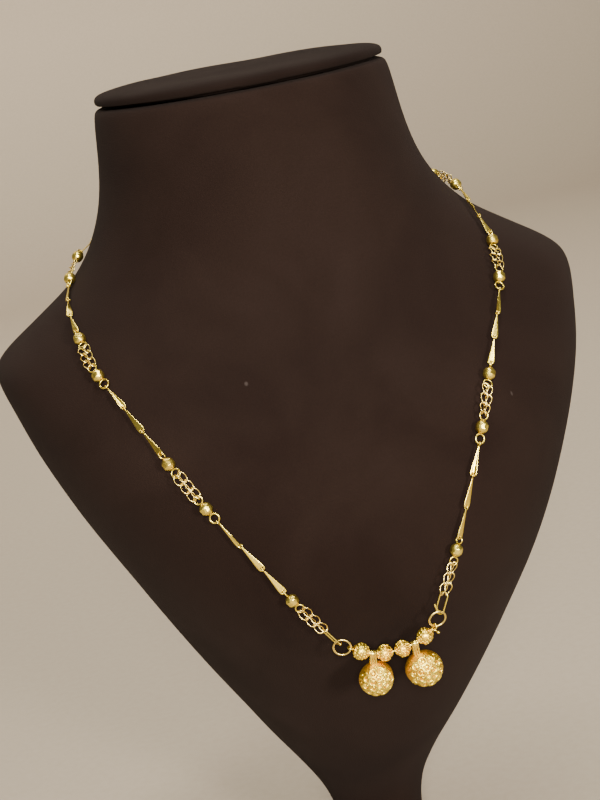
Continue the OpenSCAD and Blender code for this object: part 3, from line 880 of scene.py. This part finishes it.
def cup_shell(radius, rise):
    """The hollow raised cup: turned lip, upright side rounded over into the dome, open behind."""
    base = radius - CUP_BRIM
    ball = (base * base + (rise - CUP_SIDE) ** 2) / (2 * (rise - CUP_SIDE))
    low = rise - ball
    foot = math.acos((DOME_EDGE - low) / ball)
    profile = [(ball * math.sin(foot * i / 12), ball * math.cos(foot * i / 12) + low) for i in range(13)]
    profile[0] = (0, rise)
    profile += [(base - 0.02, CUP_SIDE), (base + 0.16, CUP_SIDE - 0.5), (base + 0.27, 0.6),
                (radius - 0.1, 0.35), (radius - 0.14, 0.12), (base, 0.03), (base - CUP_WALL, 0.02)]
    inner = ball - CUP_WALL
    brim = math.acos((CUP_SIDE - low) / inner)
    profile += [(inner * math.sin(brim * i / 8), inner * math.cos(brim * i / 8) + low)
                for i in range(8, 0, -1)]
    profile += [(0, rise - CUP_WALL)]
    return turned("shell", profile, steps=64, smooth=50), ball, low


def cup_relief(k, radius, ball, low, side):
    """The worked dome: scrolls, grains and long lobes, set over to one side, with lobes on the lip."""
    bead, leaf, scroll = grain(0.6, 0.4), petal(), wire_ring(1.0, 0.32, 24, 8)
    flat_leaf = copy_at(leaf, "flat_leaf", Matrix.Diagonal((1, 1, 0.6, 1)))
    tip = Matrix.Rotation(side, 4, "Z") @ Matrix.Rotation(math.radians(TIP), 4, "Y")
    pole = Matrix.Translation((0, 0, low * MM)) @ tip @ Matrix.Translation((0, 0, -low * MM))
    reach = math.acos((DOME_EDGE - low) / ball) - math.radians(TIP)
    edge = radius - 0.62
    made = []

    def ring_of(model, count, from_pole, sink, offset=0.0, size=1.0):
        for i in range(count):
            around = 2 * math.pi * (i + offset) / count + chance.uniform(-0.06, 0.06)
            place = pole @ on_ball(ball - sink, from_pole / ball, around, low)
            made.append(copy_at(model, "lobe", place @ Matrix.Scale(size + chance.uniform(-0.08, 0.08), 4)))

    for i in range(26):
        around = 2 * math.pi * i / 26 + chance.uniform(-0.03, 0.03)
        if math.cos(around - side) > -0.3:
            spot = Vector((edge * math.cos(around), edge * math.sin(around), 0.95)) * MM
            stand = (Matrix.Translation(spot) @ Matrix.Rotation(around, 4, "Z")
                     @ Matrix.Rotation(math.pi / 2, 4, "Y"))
            made.append(copy_at(leaf, "lobe", stand @ Matrix.Scale(1.35, 4)))
    ring_of(scroll, 1, 0, 0.05, size=0.85)
    ring_of(bead, 1, 0, 0.1, size=0.9)
    ring_of(scroll, 6, 1.95, -0.05, offset=0.3, size=1.05)
    ring_of(bead, 6, 1.95, 0.0, offset=0.3, size=1.0)
    ring_of(scroll, 10, reach * ball - 0.95, -0.05, offset=0.1, size=1.05)
    ring_of(bead, 10, reach * ball - 0.95, 0.0, offset=0.1, size=1.0)
    ring_of(flat_leaf, 16, reach * ball, 0.0, size=1.4)
    for model in (bead, leaf, flat_leaf, scroll):
        scrap(model)
    return join(made, f"cup_relief_{k}")


def ribbed_bail(k, wire, reach, turn):
    """The soldered bail: a ridged tube round the wire and a tongue down into the cup, a little skewed."""
    tube = turned("bail_tube", BAIL_RIDGES, steps=28)
    tube.data.transform(Matrix.Translation((0, -BAIL_HANG * MM, 0)) @ Matrix.Rotation(math.pi / 2, 4, "Y"))
    tube.data.transform(Matrix.Rotation(-turn / 2, 4, "Z"))
    start_clean()
    bpy.ops.mesh.primitive_cube_add(size=1)
    tongue = bpy.context.object
    pick(tongue, "VERT", lambda p: True)
    bpy.ops.transform.resize(value=(1.9 * MM, reach * MM, 1.5 * MM), center_override=(0, 0, 0))
    bpy.ops.transform.translate(value=(0, -reach / 2 * MM, -0.1 * MM))
    pick(tongue, "VERT", lambda p: p.y < -reach * 0.9 * MM)
    bpy.ops.transform.resize(value=(1.1, 1, 0.3), center_override=(0, 0, -0.55 * MM))
    pick(tongue, "VERT", lambda p: p.y > -reach * 0.1 * MM)
    bpy.ops.transform.translate(value=(0, -0.8 * MM, 0))
    pick(tongue, "FACE", lambda p: True)
    bpy.ops.mesh.bevel(offset=0.12 * MM, segments=2, affect="EDGES")
    done(tongue, "tongue", smooth=40)
    made = [tube, tongue]
    for across in (-0.64, 0, 0.64):
        start_clean()
        bpy.ops.mesh.primitive_cylinder_add(vertices=12, radius=0.25 * MM, depth=(reach - 0.3) * MM)
        rib = bpy.context.object
        rib.data.transform(Matrix.Translation((across * MM, -(reach + 0.1) / 2 * MM, 0.62 * MM))
                           @ Matrix.Rotation(math.pi / 2, 4, "X"))
        made.append(done(rib, "rib", smooth=50))
    bail = join(made, f"ribbed_bail_{k}")
    bail.data.transform(wire @ Matrix.Rotation(turn, 4, "Z"))
    return bail


def vati(k, angle, lean, drop, radius, side, skew):
    """A raised cup with its worked dome and its bail; the dome's flower sits towards one side."""
    shell, ball, low = cup_shell(radius, CUP_RISE)
    relief = cup_relief(k, radius, ball, low, side)
    wire = on_wire(angle) @ Matrix.Rotation(math.radians(CUP_SWING), 4, "X")
    turn = math.radians(lean - angle)
    down = Vector((0, -drop, -CUP_SET_BACK)) * MM
    hang = wire @ Matrix.Rotation(turn, 4, "Z") @ Matrix.Translation(down)
    shell.data.transform(hang)
    relief.data.transform(hang)
    bail = ribbed_bail(k, wire, drop - radius + 0.85, math.radians(skew))
    # The shell's darker gold gives the band its orange tone and paints shade in the grooves between the
    # relief's pieces
    wear(shell, band_and_painted_shade_gold, "granulated_gold", f"vati_{k}").name = f"raised_cup_{k}"
    wear(bail, yellow_gold, "granulated_gold", f"vati_{k}")
    wear(relief, pale_worked_gold, "granulated_gold", f"vati_{k}")


# The jump rings, turned a little on the links that they hold
def place_jump_rings(turn):
    for side in SIDES:
        node = f"jump_ring_{side}"
        points = loose_parts(node)[0]
        lo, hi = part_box(node)
        centre = (lo + hi) / 2
        normal = spread_axes(points)[2]
        thick = max(abs((p - centre).dot(normal)) for p in points)
        wide = max((p - centre).length for p in points)
        view = (bpy.context.scene.camera.location - centre).normalized()
        if normal.dot(view) < 0:
            normal = -normal
        up = (Vector((0, 0, 1)) - normal * normal.z).normalized()
        swing = turn if up.dot(normal.cross(view)) > 0 else -turn
        normal.rotate(Matrix.Rotation(math.radians(swing), 3, up))
        ring = wire_ring((wide - thick) / MM, thick / MM, 48, 12)
        ring.data.transform(axes(centre, up.cross(normal), up, normal))
        ring.name = f"round_jump_ring_{side}"
        wear(ring, pale_gold, "chain_gold", node)


# The wires' own ends
def wire_stub(start, end, radius):
    """A short cut piece of wire with rounded ends."""
    start_clean()
    reach = (end - start).length
    bpy.ops.mesh.primitive_uv_sphere_add(segments=10, ring_count=8, radius=radius)
    stub = bpy.context.object
    pick(stub, "VERT", lambda p: p.z > 0.1 * radius)
    bpy.ops.transform.translate(value=(0, 0, reach))
    done(stub, "wire_stub", smooth=60)
    z = (end - start).normalized()
    x = z.orthogonal().normalized()
    stub.data.transform(axes(start, x, z.cross(x), z))
    return stub


def end_of(node, towards):
    """The point of a node that lies furthest in a direction."""
    return max((p for part in loose_parts(node) for p in part), key=lambda p: p.dot(towards))


def place_wire_ends():
    """The left connector's melted end, the right one's cut end, the pendant wire's wrapped end."""
    down = Vector((0.55, -0.1, -0.83))
    tip = end_of("connector_left", down)
    ball = grain(0.42)
    ball.data.transform(Matrix.Translation(tip + Vector((0.25, -0.35, 0.1)) * MM))
    ball.name = "melted_end_left"
    wear(ball, yellow_gold, "chain_gold")
    low = end_of("connector_right", Vector((-0.5, -0.2, -0.84)))
    stub = wire_stub(low + Vector((-0.15, -0.3, 0.9)) * MM, low + Vector((-0.75, -0.5, 3.2)) * MM,
                     0.32 * MM)
    stub.name = "cut_end_right"
    wear(stub, yellow_gold, "chain_gold")
    made = []
    for k in range(2):
        turn = wire_ring(0.5, 0.2, 20, 6)
        turn.data.transform(on_wire(34.75 + 1.1 * k) @ Matrix.Rotation(math.pi / 2 + 0.12, 4, "Y"))
        made.append(turn)
    knob = grain(0.48)
    knob.data.transform(on_wire(38.8) @ Matrix.Translation(Vector((-0.68, -1.8, 0.45)) * MM))
    tail = wire_stub(on_wire(36.2) @ (Vector((0, -0.5, 0.1)) * MM),
                     on_wire(38.8) @ (Vector((-0.62, -1.6, 0.42)) * MM), 0.18 * MM)
    wear(join(made + [tail, knob], "wrapped_wire_end"), yellow_gold, "chain_gold")


# The scene
chance = random.Random(7)
hand_worked = make_hand_worked()
short_pile = make_pile()
yellow_gold, bead_gold, pale_gold, orange_gold, band_and_painted_shade_gold, pale_worked_gold = (
    gold_finish(*row) for row in GOLDS)
brown_velvet = velvet_finish("dark_brown_velvet", (0.0098, 0.0048, 0.0034), (0.0160, 0.0086, 0.0062), 0.6)
# Painted shade: the cap's velvet is the bust's velvet made about a third darker
cap_velvet = velvet_finish("painted_shade_cap_velvet", (0.0062, 0.0031, 0.0022), (0.0105, 0.0057, 0.0041), 0.5)
photo_camera()
set_lights()
make_stage()
for name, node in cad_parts.items():
    node.data.materials.clear()
    if name in ("neck_bust", "neck_cap", "stand_foot"):
        node.data.materials.append(brown_velvet)
    elif name.startswith(("filigree", "vati")):
        node.data.materials.append(orange_gold)
    else:
        node.data.materials.append(yellow_gold)
wear(velvet_cover("neck_bust", "velvet_bust", 0.0005), brown_velvet, "velvet", "neck_bust")
cap_cover = tucked_cap(velvet_cover("neck_cap", "velvet_cap", 0.0011))
wear(cap_cover, cap_velvet, "velvet", "neck_cap")
wear(velvet_cover("stand_foot", "velvet_foot", 0.0003), brown_velvet, "velvet", "stand_foot")
place_beads(cut_bead_model())
place_bars([bar_model(kind) for kind in range(3)], eye_model())
place_links(twisted_link())
for k, angle, diameter, ringed in FILIGREE:
    filigree_bead(k, angle, diameter, ringed)
place_jump_rings(12)
place_wire_ends()
vati(1, -23.2, -5.5, 7.5, 5, math.radians(-110), 14)
vati(2, 15.6, 7, 8.05, 5.35, math.radians(-55), -16)
